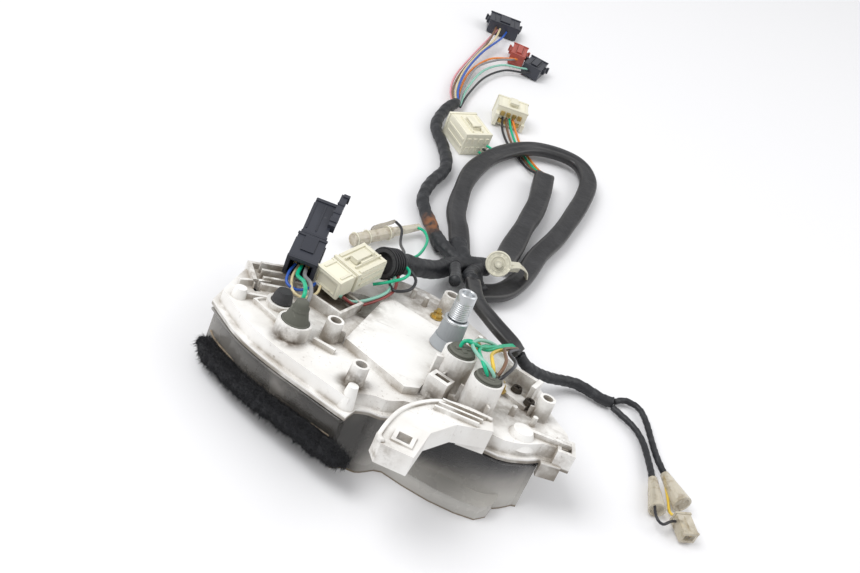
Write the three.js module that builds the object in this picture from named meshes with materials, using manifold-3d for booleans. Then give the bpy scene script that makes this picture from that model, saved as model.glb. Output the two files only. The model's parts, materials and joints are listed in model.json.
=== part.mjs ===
// Scooter instrument cluster with its wiring harness, resting face down on its lens.
// Millimetres, +Z up, origin on the floor under the middle of the cluster.
// The back of the case is not level: the lens is a wedge, deeper along the near edge (-Y).
import * as THREE from "three";
import { mergeVertices } from "three/addons/utils/BufferGeometryUtils.js";
import Module from "manifold-3d";

const wasm = await Module();
wasm.setup();

// Driving dimensions
const BACK_TILT = 11; // degrees the back of the case falls away towards +Y
const FLANGE_Z = 30; // height of the flange over the origin
const FLANGE = 3; // flange thickness
const WALL = 2.5; // case and lens wall
const TRAY = 8; // height of the case back over its flange
const PLATEAU = 13; // height of the raised speedometer box
const GAP = 0.35; // clearance between neighbouring pieces
const LAMP_TUBE = 30; // top of the two tall lamp tubes
const LAMP_R = 10; // outside radius of a lamp tube
const SPEEDO = [25, 13]; // speedometer axis
const FUEL = [76, -8]; // fuel gauge axis
const LENS_FOOT = -31.4; // foot of the lens left of the notch
const DIAL = -8; // underside of the dial plate
const STUB_R = 6; // M12 speedometer cable thread
const DRUM_R = 5.5; // odometer drum
const ODO = [9, -15, 0]; // middle of the odometer shaft

// Materials
const finish = (color, roughness, metalness = 0) =>
  new THREE.MeshStandardMaterial({ color, roughness, metalness });
const white = finish(0xe9e6e0, 0.6);
const nylon = finish(0xe2dcc6, 0.5);
const black = finish(0x1d1f24, 0.55);
const rubber = finish(0x55554d, 0.85);
const foam = finish(0x15161a, 1);
const tape = finish(0x202227, 0.6);
const sleeve = finish(0x26272b, 0.5);
const wire = finish(0x1f9f6c, 0.5);
const red = finish(0xa8342c, 0.5);
const zinc = finish(0xaeb4b8, 0.35, 1);
const brass = finish(0xb9974a, 0.35, 1);
const steel = finish(0x8a8d90, 0.4, 1);
const grey = finish(0x8b9094, 0.6);
const ink = finish(0x20242a, 0.7);
const needleRed = finish(0xd8502a, 0.5);
const smoke = new THREE.MeshStandardMaterial({ color: 0x77736c, roughness: 0.15 });
smoke.transparent = true;
smoke.opacity = 0.55;
const glass = new THREE.MeshStandardMaterial({ color: 0xdfe6e6, roughness: 0.05 });
glass.transparent = true;
glass.opacity = 0.4;

// Solids
function solid(geometry) {
  const bare = geometry.index ? geometry.toNonIndexed() : geometry.clone();
  bare.deleteAttribute("normal");
  bare.deleteAttribute("uv");
  const merged = mergeVertices(bare, 1e-4);
  const mesh = new wasm.Mesh({
    numProp: 3,
    vertProperties: merged.attributes.position.array,
    triVerts: new Uint32Array(merged.index.array),
  });
  return new wasm.Manifold(mesh);
}

function surface(manifold) {
  const mesh = manifold.getMesh();
  const geometry = new THREE.BufferGeometry();
  geometry.setAttribute("position", new THREE.BufferAttribute(mesh.vertProperties, 3));
  geometry.setIndex(new THREE.BufferAttribute(mesh.triVerts, 1));
  geometry.computeVertexNormals();
  return geometry;
}

const join = (...pieces) => pieces.reduce((all, piece) => all.add(piece));
const cut = (body, ...tools) => tools.reduce((rest, tool) => rest.subtract(tool), body);

// An upright prism over a list of [x, y] points.
function prism(points, bottom, top) {
  const shape = new THREE.Shape(points.map(([x, y]) => new THREE.Vector2(x, y)));
  const settings = { depth: top - bottom, bevelEnabled: false };
  return solid(new THREE.ExtrudeGeometry(shape, settings).translate(0, 0, bottom));
}

// An upright round post; a second radius makes it a cone.
function post(x, y, bottom, top, radius, topRadius = radius, sides = 20) {
  const geometry = new THREE.CylinderGeometry(topRadius, radius, top - bottom, sides);
  return solid(geometry.rotateX(Math.PI / 2).translate(x, y, (bottom + top) / 2));
}

// A box by its middle, width, depth and heights, turned about Z in degrees.
function block(x, y, width, depth, bottom, top, turn = 0) {
  const geometry = new THREE.BoxGeometry(width, depth, top - bottom);
  geometry.rotateZ(THREE.MathUtils.degToRad(turn));
  return solid(geometry.translate(x, y, (bottom + top) / 2));
}

// A box along a line in space, such as a connector that lies at an angle.
function bar(from, to, width, height, overrun = 0) {
  const start = new THREE.Vector3(...from);
  const end = new THREE.Vector3(...to);
  const along = end.clone().sub(start);
  const length = along.length() + 2 * overrun;
  const forward = along.normalize();
  const side = new THREE.Vector3(0, 0, 1).cross(forward).normalize();
  const up = forward.clone().cross(side);
  const frame = new THREE.Matrix4().makeBasis(forward, side, up);
  frame.setPosition(start.add(end).multiplyScalar(0.5));
  return solid(new THREE.BoxGeometry(length, width, height).applyMatrix4(frame));
}

// A round bar along a line in space; a second radius makes it a cone.
function rod(from, to, radius, endRadius = radius, sides = 16) {
  const start = new THREE.Vector3(...from);
  const end = new THREE.Vector3(...to);
  const along = end.clone().sub(start);
  const geometry = new THREE.CylinderGeometry(endRadius, radius, along.length(), sides);
  const turn = new THREE.Quaternion().setFromUnitVectors(
    new THREE.Vector3(0, 1, 0),
    along.normalize(),
  );
  geometry.applyQuaternion(turn);
  const middle = start.add(end).multiplyScalar(0.5);
  return solid(geometry.translate(middle.x, middle.y, middle.z));
}

// A turned piece: [radius, z] pairs that start and end on the axis.
function turned(x, y, profile, sides = 24) {
  const points = profile.map(([r, z]) => new THREE.Vector2(r, z));
  return solid(new THREE.LatheGeometry(points, sides).rotateX(Math.PI / 2).translate(x, y, 0));
}

// A cord: a round section swept along a smooth curve through the points.
function cord(points, diameter) {
  const path = new THREE.CatmullRomCurve3(points.map((p) => new THREE.Vector3(...p)));
  const sides = diameter < 4 ? 8 : 10;
  const ring = Array.from({ length: sides }, (_, i) => {
    const angle = (2 * Math.PI * i) / sides;
    return new THREE.Vector2(Math.cos(angle), Math.sin(angle)).multiplyScalar(diameter / 2);
  });
  const steps = Math.min(80, Math.ceil(path.getLength() / (2 * diameter)));
  const settings = { steps, extrudePath: path, bevelEnabled: false };
  return solid(new THREE.ExtrudeGeometry(new THREE.Shape(ring), settings));
}

// The outline of the flange, anticlockwise from the left tip.
function flangeOutline() {
  const shape = new THREE.Shape();
  const spline = (list) => shape.splineThru(list.map(([x, y]) => new THREE.Vector2(x, y)));
  shape.moveTo(-108, -26);
  spline([[-84, -50], [-61, -63], [-36, -73], [-10, -83]]);
  shape.lineTo(-7, -72);
  spline([[0, -68], [8, -67], [17, -60]]);
  spline([[36, -55], [57, -54], [76, -55], [90, -48], [98, -41]]);
  shape.lineTo(113, -37);
  shape.lineTo(117, -32);
  shape.lineTo(113, -15);
  shape.lineTo(98, 4);
  shape.lineTo(94, 21);
  spline([[68, 44], [40, 66], [16, 82], [0, 86], [-24, 84]]);
  spline([[-50, 64], [-76, 45], [-97, 29], [-105, 12], [-108, -26]]);
  return shape.getPoints(2).slice(0, -1).map((p) => [p.x, p.y]);
}

// The same outline moved inwards. Points that land too near another edge are dropped.
function inset(points, distance) {
  const moved = points.map(([x, y], i) => {
    const [px, py] = points[(i + points.length - 1) % points.length];
    const [nx, ny] = points[(i + 1) % points.length];
    const before = new THREE.Vector2(x - px, y - py).normalize();
    const after = new THREE.Vector2(nx - x, ny - y).normalize();
    const mitre = before.clone().add(after).normalize();
    const stretch = 1 / Math.max(0.6, mitre.dot(after));
    return [x - mitre.y * distance * stretch, y + mitre.x * distance * stretch];
  });
  return moved.filter((point) => edgeDistance(points, point) > 0.93 * Math.abs(distance));
}

function edgeDistance(points, [x, y]) {
  const target = new THREE.Vector3(x, y, 0);
  const corners = points.map(([px, py]) => new THREE.Vector3(px, py, 0));
  const gaps = corners.map((corner, i) => {
    const edge = new THREE.Line3(corner, corners[(i + 1) % corners.length]);
    return edge.closestPointToPoint(target, true, new THREE.Vector3()).distanceTo(target);
  });
  return Math.min(...gaps);
}

// Everything fixed square to the back of the case hangs in this tilted group.
const cluster = new THREE.Group();
cluster.rotation.x = THREE.MathUtils.degToRad(-BACK_TILT);
cluster.position.z = FLANGE_Z;
cluster.updateMatrixWorld(true);
const intoCase = cluster.matrixWorld.clone().invert();

// A solid made from a geometry that stands upright on the floor, carried into the case group.
const upright = (geometry) => solid(geometry.clone().applyMatrix4(intoCase));

const OUTLINE = flangeOutline();

// The white rear case: a shallow tray on a flange, with its posts, tubes, walls and bracket.
function rearCase() {
  const flange = prism(OUTLINE, -FLANGE, 0);
  const tray = prism(inset(OUTLINE, 3.5), -0.5, TRAY);
  const plateauCorners = [[-19, 44], [-29, -28], [12, -51], [20, -46], [32, 10], [28, 28]];
  const plateau = prism(plateauCorners, 2, PLATEAU);
  const movementPod = post(...SPEEDO, 2, PLATEAU, 19.5, 19.5, 28);
  const hollow = prism(inset(OUTLINE, 6.5), -FLANGE - 1, TRAY - WALL);
  const plateauHollow = prism(inset(plateauCorners, WALL), 2, PLATEAU - WALL);
  const podHollow = post(...SPEEDO, 2, PLATEAU - WALL, 17, 17, 28);
  const recess = post(-28, 27, 0, TRAY + 1, 14, 15, 24);
  const recessCup = cut(
    post(-28, 27, -1.5, TRAY, 16.5, 17, 24),
    post(-28, 27, 1, TRAY + 1, 14, 15, 24),
    plateau,
  );
  const stubHole = post(...SPEEDO, 0, PLATEAU + 1, 6.6, 6.6, 20);
  const raised = [...lampTubes(), ...posts(), ...walls(), frontBracket(), ...leftBracket()];
  const outside = join(flange, tray, plateau, movementPod, ...raised);
  const shell = cut(outside, recess, hollow, plateauHollow, podHollow, stubHole);
  return cut(join(shell, recessCup), ...bores());
}

// [x, y, top] of the three lamp tubes.
const LAMPS = [[-58, -40, 17], [34, -19, LAMP_TUBE], [53, -35, LAMP_TUBE]];

function lampTubes() {
  return LAMPS.map(([x, y, top]) => post(x, y, TRAY - WALL, top, LAMP_R + 0.6, LAMP_R, 24));
}

// [x, y, outside radius, bore radius, top] of the hollow screw posts.
const SCREW_POSTS = [
  [-38, -28, 5, 3.4, 21],
  [-14, -62, 5, 3.4, 21],
  [91, -12, 5, 3.2, 22],
  [18, 66, 5.5, 3.6, 21],
];
const PEGS = [[-5, 66], [4, 62], [31, 42], [44, 42], [75, -22], [88, -24]];

function posts() {
  const tubes = SCREW_POSTS.map(([x, y, r, , top]) => post(x, y, 6, top, r + 0.5, r, 20));
  const pegs = PEGS.map(([x, y]) => post(x, y, 6, TRAY + 6, 2, 1.6, 12));
  const leftCone = post(-95, -25, -1, 14, 6.5, 3.4, 20);
  const leftWeb = block(-86, -20, 20, 2, 4, 11, 28);
  const nearCone = post(-13, -74, -1, 14, 5, 3, 20);
  return [...tubes, ...pegs, leftCone, leftWeb, nearCone];
}

// Straight walls, boxes and the slotted block that stand on the back.
function walls() {
  const plugRing = cut(post(-72, -17, 6, 12, 9, 8.6, 20), post(-72, -17, 9, 13, 6.6, 6.6, 20));
  const ridge = cut(block(-70, -26, 30, 15, 6, 10.5, -32), block(-70, -26, 27, 12, 9, 11, -32));
  const shadeWall = block(-38, -40, 14, 2.5, 6, 11, -12);
  const boxWall = cut(block(-48, 10, 30, 26, 6, 15, -20), block(-48, 10, 26, 22, 9, 16, -20));
  const slotBlock = cut(block(29, -41, 13, 9, 5, 22, -20), block(29.5, -41, 9, 3.2, 9, 23, -20));
  const rightWall = block(74, 12, 20, 3, 6, 19, -18);
  const rightReturn = block(84, 5, 3, 13, 6, 19, -18);
  const tubeWeb = block(26, -24, 9, 3, 6, 26, 20);
  const dome = post(83, -38, 3, 11.5, 10.5, 6, 28);
  const screwPlate = block(72, -2, 26, 9, 6, 10.4, -28);
  const earWall = block(97, -33.5, 30, 2.6, -1, 11, 6);
  const earBox = cut(block(110, -32, 11, 15, -2.9, 9, 6), block(110, -32, 6.4, 10, 0, 10, 6));
  const clipTab = block(105, -40.4, 12, 3.4, -10, -0.5, 14);
  return [plugRing, ridge, shadeWall, boxWall, slotBlock, rightWall, rightReturn, tubeWeb, dome]
    .concat([screwPlate, earWall, earBox, clipTab]);
}

// The outrigger at the near edge: an arm that bends outwards to a tab with a square hole.
function frontBracket() {
  const arm = [[66, -60], [64, -49], [45, -49], [29, -56], [14, -78], [8, -108], [12, -116]];
  const outline = [...arm, [30, -116], [34, -88], [46, -69]];
  const shell = prism(outline, 3, 15);
  const underside = prism(inset(outline, 2.6), 2, 12);
  const hole = block(22, -104, 7.5, 7.5, 0, 20, -4);
  const frame = cut(block(22, -104, 12, 12, 11.5, 16, -4), hole);
  const ribs = [0, 1, 2].map((i) => block(44 + 1.5 * i, -63 + 5 * i, 26, 1.6, 14, 17.5, 3));
  const foot = prism([[66, -60], [64, -49], [48, -49], [50, -62]], -1, 14);
  return join(cut(shell, underside, hole), frame, foot, ...ribs);
}

// The ribbed wedge at the left end, with its slot.
function leftBracket() {
  const base = cut(block(-84, 8, 30, 26, 4, 12, 28), block(-84, 8, 25, 21, 8.6, 13, 28));
  const ribs = [0, 1, 2].map((i) => block(-82 + 3 * i, 18 - 6 * i, 30, 2, 6, 15.5 - i, 30));
  const ridge = block(-92, -6, 20, 2, 6, 12, 40);
  return [base, ridge, ...ribs];
}

// Everything bored from above or below: lamp tubes, screw posts, gauge screw holes, bracket slot.
function bores() {
  const lamp = LAMPS.map(([x, y, top]) => post(x, y, -1, top + 1, 8.6, 8.6, 24));
  const screws = SCREW_POSTS.map(([x, y, , bore, top]) => post(x, y, 9.5, top + 1, bore, bore, 16));
  const slit = block(57, -29, 2.4, 5, 25, 31, 45);
  const slot = block(-90, -8, 4, 7, 4, 14, 40);
  return [...lamp, ...screws, slit, slot];
}

// The smoky lens: a hollow wedge on the floor, shallower left of the notch, cut short at the
// ear on the right, with a low foot round the speedometer.
function lensCover() {
  const wedgeTop = -FLANGE - GAP;
  const slab = (top) => upright(new THREE.BoxGeometry(500, 500, 100).translate(0, 0, top - 50));
  const shallow = block(-158, 0, 300, 400, -120, LENS_FOOT);
  const shallowInside = block(-158 + WALL, 0, 300, 400, -120, LENS_FOOT + WALL);
  const ear = block(199, 0, 200, 300, -120, -6.5);
  const earInside = block(199 - WALL, 0, 200, 300, -120, -6.5 + WALL);
  const footOutline = [[16, -52], [17, -62], [34, -66], [50, -68.5], [66, -69], [78, -67.5]]
    .concat([[84, -62], [86, -54], [86, -20], [18, -20]]);
  const foot = floorPrism(footOutline, 0, 11);
  const footInside = floorPrism(inset(footOutline, WALL), WALL, 11 - WALL);
  const wall = cut(prism(inset(OUTLINE, 3), -60, wedgeTop), slab(0), shallow, ear);
  const inside = cut(prism(inset(OUTLINE, 5.5), -60, 1), slab(WALL), shallowInside, earInside);
  return cut(join(wall, foot), inside, footInside);
}

// A prism that stands upright on the floor under the tilted case.
function floorPrism(points, bottom, top) {
  const shape = new THREE.Shape(points.map(([x, y]) => new THREE.Vector2(x, y)));
  const settings = { depth: top - bottom, bevelEnabled: false };
  return upright(new THREE.ExtrudeGeometry(shape, settings).translate(0, 0, bottom));
}

// The fuzzy foam strip round the outside of the shallow part of the lens.
function foamSeal() {
  const near = [[-104, -29], [-97, -37], [-84, -47], [-61, -60], [-36, -70], [-15, -79]];
  const outer = near.map(([x, y]) => [x - 3, y - 4.6]);
  const inner = near.map(([x, y]) => [x - 0.1, y - 0.55]).reverse();
  const strip = prism([...outer, ...inner], LENS_FOOT + 0.6, -19);
  return cut(strip, prism(inset(OUTLINE, 2.6), -61, 1));
}

// The dial plate, with windows for the needle spindles, the odometer and the lamps.
function dialPlate() {
  const plate = prism(inset(OUTLINE, 9), DIAL, DIAL + 1.5);
  const spindleHoles = [post(...SPEEDO, -20, 0, 2, 2, 16), post(...FUEL, -20, 0, 2, 2, 16)];
  const window = block(ODO[0], ODO[1], 33, 9, -20, 0);
  const rightTrim = block(196, 0, 200, 300, -20, 0);
  return cut(plate, ...spindleHoles, window, rightTrim);
}

// Inside the speedometer: two bridges and two pillars hold the magnet and the drag cup.
function speedometerFrame() {
  const [x, y] = SPEEDO;
  const upper = cut(post(x, y, 8.4, 10, 15, 15, 28), post(x, y, 8, 11, 2.4, 2.4, 16));
  const lower = block(x - 12, y - 15, 62, 46, -3.2, -1.8);
  const pillars = [-1, 1].map((s) => block(x + 13.6 * s, y, 2.4, 7, -2, 9));
  const drumWindow = block(ODO[0], ODO[1], 36, 13.5, -4, 0);
  const gearWindow = block(ODO[0] + 23.4, ODO[1], 4.6, 10, -4, 0);
  const cheeks = [-20, 20].map((d) => {
    const cheek = block(ODO[0] + d, ODO[1], 2, 7, -2, 4.4);
    const bore = rod([ODO[0] + d - 3, ODO[1], 0], [ODO[0] + d + 3, ODO[1], 0], 1.6);
    return cut(cheek, bore);
  });
  const bodies = join(cut(lower, drumWindow, gearWindow, post(x, y, -5, 0, 1.5, 1.5, 16)), upper, ...pillars);
  const shaftWay = rod([ODO[0] - 30, ODO[1], 0], [ODO[0] + 30, ODO[1], 0], 1.6);
  return cut(join(bodies, ...cheeks), shaftWay);
}

// The drive from the cable: threaded stub, grey collar, shaft and magnet.
function drivePieces() {
  const [x, y] = SPEEDO;
  const pitch = 2.2;
  const thread = [[0, 33]];
  for (let z = 33; z < 46; z += pitch) {
    thread.push([STUB_R - 0.6, z], [STUB_R, z + pitch / 2]);
  }
  thread.push([STUB_R - 0.6, 46.5], [STUB_R - 0.6, 50], [STUB_R - 1.2, 51], [0, 51]);
  const neck = post(x, y, 10.8, 33.2, 5, 5, 20);
  const bore = post(x, y, 0, 60, 2.6, 2.6, 20);
  const socket = post(x, y, 40, 60, 3.8, 3.8, 20);
  const stub = cut(join(turned(x, y, thread, 20), neck), bore, socket);
  const collar = cut(
    join(
      post(x, y, PLATEAU + GAP, 20, 10, 8.6, 28),
      post(x, y, 19.8, 32.4, 8.2, 7.6, 28),
    ),
    post(x, y, 10, 40, 5.4, 5.4, 24),
  );
  const shaft = join(
    post(x, y, 6.2, 42, 1.9, 1.9, 16),
    block(x, y, 3.4, 3.4, 41, 46),
    post(x, y, 10.4, 11.6, 2.3, 2.3, 16),
  );
  const magnet = post(x, y, 3.6, 5.8, 8.4, 8.4, 24);
  return { stub, collar, shaft, magnet };
}

function needle(x, y, hub, length, angle) {
  const turn = THREE.MathUtils.degToRad(angle);
  const tip = [x + length * Math.cos(turn), y + length * Math.sin(turn)];
  const side = [-Math.sin(turn), Math.cos(turn)];
  const blade = [
    [x + 2 * side[0], y + 2 * side[1]],
    [x - 2 * side[0], y - 2 * side[1]],
    [tip[0] - 0.5 * side[0], tip[1] - 0.5 * side[1]],
    [tip[0] + 0.5 * side[0], tip[1] + 0.5 * side[1]],
  ].reverse();
  return join(prism(blade, DIAL - 2.6, DIAL - 1.4), post(x, y, DIAL - 3.6, DIAL - 1.2, hub, hub, 20));
}

function addSpeedometer(add) {
  const [x, y] = SPEEDO;
  const { stub, collar, shaft, magnet } = drivePieces();
  add("drive_stub", stub, zinc);
  add("stub_collar", collar, grey);
  add("drive_shaft", shaft, steel);
  add("drive_magnet", magnet, steel);
  add("speedometer_frame", speedometerFrame(), steel);
  const cup = cut(post(x, y, 1, 6.4, 10.4, 10.4, 28), post(x, y, 2, 7, 9.6, 9.6, 28));
  add("drag_cup", cup, zinc);
  add("needle_spindle", post(x, y, DIAL - 0.8, 0.7, 1.1, 1.1, 12), steel);
  add("speedometer_needle", needle(x, y, 4, 32, 215), needleRed);
}

function addOdometer(add) {
  const [x, y, z] = ODO;
  add("odometer_shaft", rod([x - 23, y, z], [x + 26.6, y, z], 1.2, 1.2, 12), steel);
  for (let i = 0; i < 4; i += 1) {
    const left = x - 15.6 + 8 * i;
    const drum = rod([left, y, z], [left + 7.2, y, z], DRUM_R, DRUM_R, 20);
    const bore = rod([left - 1, y, z], [left + 9, y, z], 1.55, 1.55, 12);
    add(`odometer_drum_${i + 1}`, cut(drum, bore), ink);
  }
  const teeth = Array.from({ length: 12 }, (_, i) => {
    const tooth = new THREE.BoxGeometry(3, 0.7, 1).translate(x + 23.1, 0, 3.6);
    return solid(tooth.rotateX((i * Math.PI) / 6).translate(0, y, z));
  });
  const bore = rod([x + 20, y, z], [x + 26, y, z], 1.55, 1.55, 12);
  const rim = rod([x + 21.6, y, z], [x + 24.6, y, z], 3.6, 3.6, 24);
  add("odometer_gear", cut(join(rim, ...teeth), bore), nylon);
}

function addFuelGauge(add) {
  const [x, y] = FUEL;
  const body = cut(post(x, y, -4.5, 4.8, 11.5, 11.5, 28), post(x, y, -6, 2, 1.5, 1.5, 12));
  add("fuel_gauge", body, black);
  const spindle = post(x, y, DIAL - 2, 0, 1.1, 1.1, 12);
  add("fuel_needle", join(needle(x, y, 3, 18, 250), spindle), needleRed);
}

// Each lamp: a tapered rubber holder in its tube and a wedge bulb under it.
function addLamps(add) {
  ["left", "centre", "right"].forEach((side, i) => {
    const [x, y, top] = LAMPS[i];
    const crown = i === 0 ? 7 : 2.4;
    const profile = [[0, top - 9], [8.1, top - 9], [8.1, top], [7.4, top + 0.4]];
    const crownRadius = i === 0 ? 5.4 : 7;
    const taper = [[crownRadius, top + crown], [0, top + crown]];
    add(`lamp_holder_${side}`, turned(x, y, [...profile, ...taper], 24), rubber);
    const foot = top - 9 - GAP;
    const bulb = [[0, foot - 13], [3, foot - 12], [4.6, foot - 9], [4.6, foot - 5], [3, foot]];
    add(`lamp_bulb_${side}`, turned(x, y, [...bulb, [0, foot]], 12), glass);
  });
}

function addCaseFittings(add) {
  const plug = turned(-72, -17, [[0, 12.4], [6.2, 12.4], [5.6, 16], [4.4, 19], [0, 19]], 20);
  add("blanking_plug", plug, foam);
  const nuts = [[14, 53, TRAY], [43, 35.5, TRAY], [64, -6, 10.4]];
  nuts.forEach(([x, y, top], i) => {
    const washer = post(x, y, top + GAP, top + 1.3, 4.2, 4.2, 20);
    const nut = post(x, y, top + 1.2, top + 4, 3.2, 3.2, 6);
    const stud = post(x, y, top + 3.9, top + 6.4, 1.6, 1.6, 12);
    add(`gauge_nut_${i + 1}`, join(washer, nut, stud), brass);
  });
  const screws = [[74, 2], [83, -7]];
  screws.forEach(([x, y], i) => {
    const head = post(x, y, 10.4 + GAP, 13.4, 3.6, 3, 20);
    const cross = [0, 90].map((turn) => block(x, y, 4, 1, 12.2, 14, turn + 20));
    add(`plate_screw_${i + 1}`, cut(head, ...cross), ink);
  });
}

// The connectors on and behind the case, in floor coordinates.
function addConnectors(add) {
  const relayCase = bar([-74, 38.4, 51.6], [-77.5, 76, 54], 15, 12);
  add("relay_body", join(relayCase, bar([-67.5, 52, 58.4], [-70, 88, 58.8], 4.5, 5)), ink);
  const shroudBlock = bar([-72, 13, 50], [-74, 38, 51.6], 18, 14);
  const shroud = cut(shroudBlock, bar([-71.8, 9, 49.7], [-73, 23, 50.6], 14, 10));
  add("relay_socket", shroud, black);
  const plug = bar([-54.5, 12, 50], [-48.4, 25.4, 50], 19, 12);
  add("plug_housing", cut(plug, bar([-57, 6.5, 50], [-51.5, 18.6, 50], 15, 8)), nylon);
  const female = join(
    bar([-48, 26, 50], [-36.5, 51, 50], 20, 13),
    bar([-44, 34, 57.5], [-38.5, 46, 57.5], 8, 3),
    bar([-37, 50, 50], [-35, 54, 50], 15, 9),
  );
  add("socket_housing", female, nylon);
  const bootBody = rod([-30, 57, 47], [-22.5, 71, 42], 9.5, 8, 20);
  add("connector_boot", cut(bootBody, rod([-34, 48, 51], [-28.5, 60, 46], 7, 7, 16)), foam);
  add("bullet_sleeve", join(
    rod([-59, 123, 7], [-38, 150.4, 7], 4.4, 4.4, 14),
    rod([-38, 150.4, 7], [-22, 171, 7], 3.6, 2.6, 14),
  ), nylon);
  const first = cut(
    join(bar([-31, 334, 10], [-10, 310, 10], 25, 19), bar([-24, 327, 20], [-15, 316, 20], 7, 3)),
    bar([-36, 340, 10], [-24, 326, 10], 20, 14),
  );
  add("white_connector_1", first, nylon);
  const second = join(
    bar([3, 397, 9.5], [6.5, 378, 9.5], 27, 17),
    bar([4, 393, 18.6], [5.5, 384, 18.6], 8, 3),
  );
  add("white_connector_2", cut(second, bar([2, 404, 9.5], [4, 389, 9.5], 22, 12)), nylon);
  add("black_connector", joint([-37, 566, 7.5], [-34, 545, 7.5], 30, 12), ink);
  add("red_connector", joint([-11, 520, 7], [-10, 496, 7], 14, 11), red);
  add("grey_connector", joint([10.5, 508, 7], [6.5, 485, 7], 17, 11), ink);
}

// A small open-ended connector with a latch bump.
function joint(mouth, back, width, height) {
  const [mx, my, mz] = mouth;
  const [bx, by, bz] = back;
  const inner = [mx + 0.45 * (bx - mx), my + 0.45 * (by - my), mz];
  const outer = [mx - 0.2 * (bx - mx), my - 0.2 * (by - my), mz];
  const body = bar(mouth, back, width, height);
  const latch = bar([mx, my, mz + height / 2], [bx, by, bz + height / 2], width / 3, 3, -4);
  return cut(join(body, latch), bar(outer, inner, width - 4, height - 4));
}

// The clip on the trunk, the tapered boots on the right-hand lead and its small connector.
function addLeadFittings(add) {
  const clip = join(
    rod([39, 143, 25], [39, 134, 30.5], 8, 8, 28),
    rod([39, 135, 30], [39, 131, 32.2], 3.4, 2.4, 16),
    bar([39, 140, 25], [54, 156, 20], 4, 6),
  );
  add("harness_clip", clip, nylon);
  const bootA = rod([177, 22, 5.6], [182, -4, 6.6], 2.9, 5.6, 16);
  add("lead_boot_1", cut(bootA, rod([181, -1, 6.3], [184, -11, 7], 4.2, 4.6, 16)), nylon);
  const bootB = rod([184, 30, 6.2], [197, 9, 7.6], 2.9, 6.4, 16);
  add("lead_boot_2", cut(bootB, rod([195.6, 11.4, 7.3], [201, 3, 8], 4.6, 5.4, 16)), nylon);
  add("lead_connector", cut(bar([197, 0, 6], [204, -15, 6], 10, 8), bar([202, -11, 6], [206, -19, 6], 7, 4.6)), nylon);
}

// Harness runs: [name, diameter, material, points], each list in order from the cluster outwards.
const RUNS = [
  ["trunk_cable", 13, tape, [[-20, 78, 38], [-11, 89, 32], [1, 112, 20], [10, 135, 12], [22, 148, 10], [34, 157, 9]]],
  ["up_branch", 9.5, tape, [
    [-2, 158, 7], [-11, 173, 7], [-28, 205, 7], [-29, 232, 7], [-24, 262, 7], [-32, 291, 6],
    [-46, 318, 6], [-47, 346, 6], [-41, 369, 7],
  ]],
  ["fan_wires", 6, wire, [[-41, 370, 7], [-44, 424, 6], [-42, 483, 6], [-35, 543, 8]]],
  ["loop_sleeve", 14, sleeve, [
    [12, 160, 9], [5, 185, 9], [-3, 212, 9], [-4, 268, 9], [10, 314, 9], [37, 348, 9], [69, 356, 9],
    [85, 338, 9], [87, 305, 9], [77, 239, 9], [66, 197, 9], [60, 161, 9], [50, 136, 9], [34, 122, 9],
  ]],
  ["loop_tail", 15, sleeve, [[51, 308, 10], [53, 264, 9], [49, 222, 9], [45, 182, 10], [44, 166, 12]]],
  ["case_lead", 8, tape, [[13, 119, 24], [14, 108, 28], [15, 96, 34], [15.5, 78, 42]]],
  ["gauge_sleeve", 12, sleeve, [[27, 101, 31], [34, 78, 35], [48, 60, 38], [64, 50, 36], [70, 48, 33]]],
  ["taped_lead", 7.5, tape, [[71, 48, 32], [79, 48, 26], [95, 62, 14], [116, 77, 7], [135, 76, 5], [143, 77, 5]]],
  ["lead_branch_a", 4.5, tape, [[144, 74, 4], [160, 64, 4], [168, 53, 4], [174, 34, 5], [176.6, 23, 5.6]]],
  ["lead_branch_b", 4.5, tape, [[144, 80, 4], [152, 86, 4], [162, 84, 4], [168, 74, 4], [173, 60, 4], [178, 44, 5], [183.6, 31, 6]]],
  ["lamp_wire_left", 3, wire, [[-60, -42, 63], [-62, -30, 66], [-66, -10, 60], [-72, 8, 50]]],
  ["lamp_wire_right", 4, wire, [[35, -12, 69.5], [39, 4, 69], [47, 22, 58], [56, 40, 46]]],
];

function build() {
  const object = new THREE.Group();
  object.add(cluster);
  const into = (group) => (name, body, material) => {
    const mesh = new THREE.Mesh(surface(body), material);
    mesh.name = name;
    group.add(mesh);
  };
  const inCase = into(cluster);
  inCase("rear_case", rearCase(), white);
  inCase("lens_cover", lensCover(), smoke);
  inCase("foam_seal", foamSeal(), foam);
  inCase("dial_plate", dialPlate(), ink);
  addSpeedometer(inCase);
  addOdometer(inCase);
  addFuelGauge(inCase);
  addLamps(inCase);
  addCaseFittings(inCase);
  const onFloor = into(object);
  addConnectors(onFloor);
  addLeadFittings(onFloor);
  RUNS.forEach(([name, diameter, material, points]) => {
    onFloor(name, cord(points, diameter), material);
  });
  return object;
}

export default build();
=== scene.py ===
"""A scooter instrument cluster lying on its lens, seen from its back, with its wiring harness."""
import json
import math
import random

import bpy
from mathutils import Matrix, Vector, noise


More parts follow.
